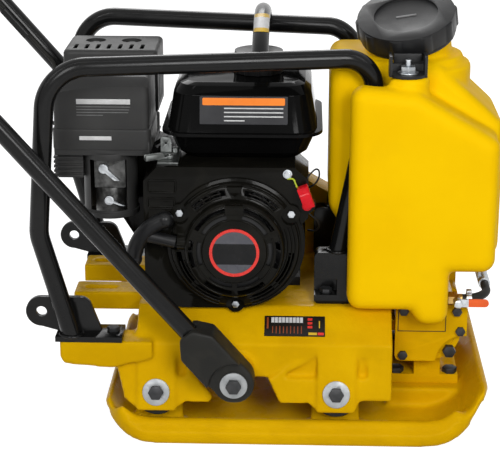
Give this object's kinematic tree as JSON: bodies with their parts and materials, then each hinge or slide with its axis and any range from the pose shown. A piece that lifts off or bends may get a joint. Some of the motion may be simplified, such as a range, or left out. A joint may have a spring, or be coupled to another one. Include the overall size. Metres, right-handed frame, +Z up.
{
  "type": "plate compactor",
  "caption": "Walk-behind vibrating plate compactor with petrol engine, roll frame, sprinkler water tank and folding handle",
  "frame": {"origin": "centre of the flat sole, on the ground", "axes": "+X forwards, the way it travels; +Y to the machine's left; +Z up"},
  "size_m": [1.1894, 0.516, 0.9706],
  "materials": {
    "yellow_paint": "gloss",
    "yellow_tank": "satin",
    "black_paint": "gloss",
    "black_plastic": "satin",
    "graphite_plastic": "matte",
    "rubber": "matte",
    "zinc": "satin",
    "dark_steel": "satin",
    "cast_alloy": "as cast",
    "cast_iron": "machined",
    "heat_black": "matte",
    "brass": "satin",
    "red_plastic": "gloss",
    "orange_plastic": "gloss",
    "filter_paper": "matte"
  },
  "bodies": {
    "chassis": {"base_plate": "yellow_paint", "buffer_rubbers": "rubber", "washers": "zinc", "hex_bolts": "dark_steel", "engine_bed": "yellow_paint", "chassis_bolts": "dark_steel", "exciter_housing": "yellow_paint", "exciter_cover_right": "yellow_paint", "exciter_cover_left": "yellow_paint", "exciter_bearings": "zinc", "exciter_bolts": "dark_steel", "drive_belt": "rubber", "belt_guard_back": "yellow_paint", "belt_guard": "yellow_paint", "crankcase": "cast_alloy", "cylinder_barrel": "cast_alloy", "cylinder_head": "cast_alloy", "rocker_cover": "heat_black", "spark_plug": "black_plastic", "oil_filler_plug": "black_plastic", "fan_housing": "black_paint", "recoil_cover": "black_paint", "recoil_bolts": "zinc", "fuel_tank": "black_paint", "air_cleaner_base": "graphite_plastic", "air_filter": "filter_paper", "air_cleaner_cover": "graphite_plastic", "carburettor": "cast_alloy", "control_plate": "zinc", "muffler": "heat_black", "muffler_guard": "heat_black", "roll_frame_right": "black_paint", "roll_frame_left": "black_paint", "lifting_arch": "black_paint", "frame_feet": "black_paint", "water_tank": "yellow_tank", "cap_strap": "black_plastic", "water_tap": "brass", "water_hose": "rubber", "sprinkler_pipe": "zinc", "throttle_cable_lower": "rubber"},
    "handle": {"handle_frame": "black_paint", "handle_boots": "rubber", "handle_grip": "rubber", "throttle_cable_upper": "rubber"},
    "throttle_lever_body": {"throttle_lever": "red_plastic"},
    "throttle_arm_body": {"throttle_arm": "zinc"},
    "crank": {"crankshaft": "zinc", "flywheel": "cast_iron", "clutch_pulley": "cast_iron"},
    "exciter": {"eccentric_shaft": "cast_iron", "exciter_pulley": "cast_iron"},
    "reel": {"starter_reel": "black_plastic"},
    "pull_grip": {"starter_grip": "black_plastic"},
    "switch": {"engine_switch": "red_plastic"},
    "fuel_cap_body": {"fuel_cap": "black_plastic"},
    "water_cap_body": {"water_cap": "black_plastic"},
    "choke": {"choke_lever": "zinc"},
    "fuel_tap_body": {"fuel_tap": "zinc"},
    "tap_lever_body": {"tap_lever": "orange_plastic"}
  },
  "joints": [
    {"name": "handle_fold", "type": "hinge", "parent": "chassis", "child": "handle", "pos_m": [-0.079, 0, 0.108], "axis": [0, 1, 0], "range_deg": [0, 95], "deforming": ["throttle_cable_lower"]},
    {"name": "throttle_set", "type": "hinge", "parent": "handle", "child": "throttle_lever_body", "pos_m": [-0.84727, 0.102, 0.88423], "axis": [0, 1, 0], "range_deg": [0, 50]},
    {"name": "throttle_arm_turn", "type": "hinge", "parent": "chassis", "child": "throttle_arm_body", "pos_m": [-0.178, -0.109, 0.405], "axis": [0, 0, 1], "range_deg": [0, 40]},
    {"name": "crank_spin", "type": "hinge", "parent": "chassis", "child": "crank", "pos_m": [-0.08, 0, 0.29], "axis": [0, 1, 0], "continuous": true},
    {"name": "exciter_spin", "type": "hinge", "parent": "chassis", "child": "exciter", "pos_m": [0.212, 0, 0.135], "axis": [0, 1, 0], "continuous": true},
    {"name": "reel_spin", "type": "hinge", "parent": "chassis", "child": "reel", "pos_m": [-0.08, -0.16, 0.29], "axis": [0, -1, 0], "range_deg": [0, 344], "stiffness_Nm_per_rad": 0.02, "springref_deg": -114.59},
    {"name": "starter_pull", "type": "slide", "parent": "chassis", "child": "pull_grip", "axis": [-0.9766, 0, 0.2149], "range_m": [0, 0.301]},
    {"name": "switch_turn", "type": "hinge", "parent": "chassis", "child": "switch", "pos_m": [0.024, -0.151, 0.352], "axis": [0, -1, 0], "range_deg": [0, 60]},
    {"name": "fuel_cap_turn", "type": "hinge", "parent": "chassis", "child": "fuel_cap_body", "pos_m": [-0.05, -0.02, 0.519], "axis": [0, 0, 1], "range_deg": [0, 90]},
    {"name": "water_cap_turn", "type": "hinge", "parent": "chassis", "child": "water_cap_body", "pos_m": [0.176, -0.005, 0.545], "axis": [-0.147, -0.342, 0.9281], "range_deg": [0, 270]},
    {"name": "choke_turn", "type": "hinge", "parent": "chassis", "child": "choke", "pos_m": [-0.277, -0.096, 0.388], "axis": [0, -1, 0], "range_deg": [0, 60]},
    {"name": "fuel_tap_turn", "type": "hinge", "parent": "chassis", "child": "fuel_tap_body", "pos_m": [-0.269, -0.099, 0.34], "axis": [0, 1, 0], "range_deg": [0, 90]},
    {"name": "water_tap_turn", "type": "hinge", "parent": "chassis", "child": "tap_lever_body", "pos_m": [0.25, -0.125, 0.194], "axis": [0, 1, 0], "range_deg": [0, 90]}
  ],
  "couplings": [
    {"joint": "exciter_spin", "follows": "crank_spin", "ratio": 1.1579},
    {"joint": "starter_pull", "follows": "reel_spin", "m_per_rad": 0.05},
    {"joint": "throttle_arm_turn", "follows": "throttle_set", "ratio": 0.8}
  ]
}
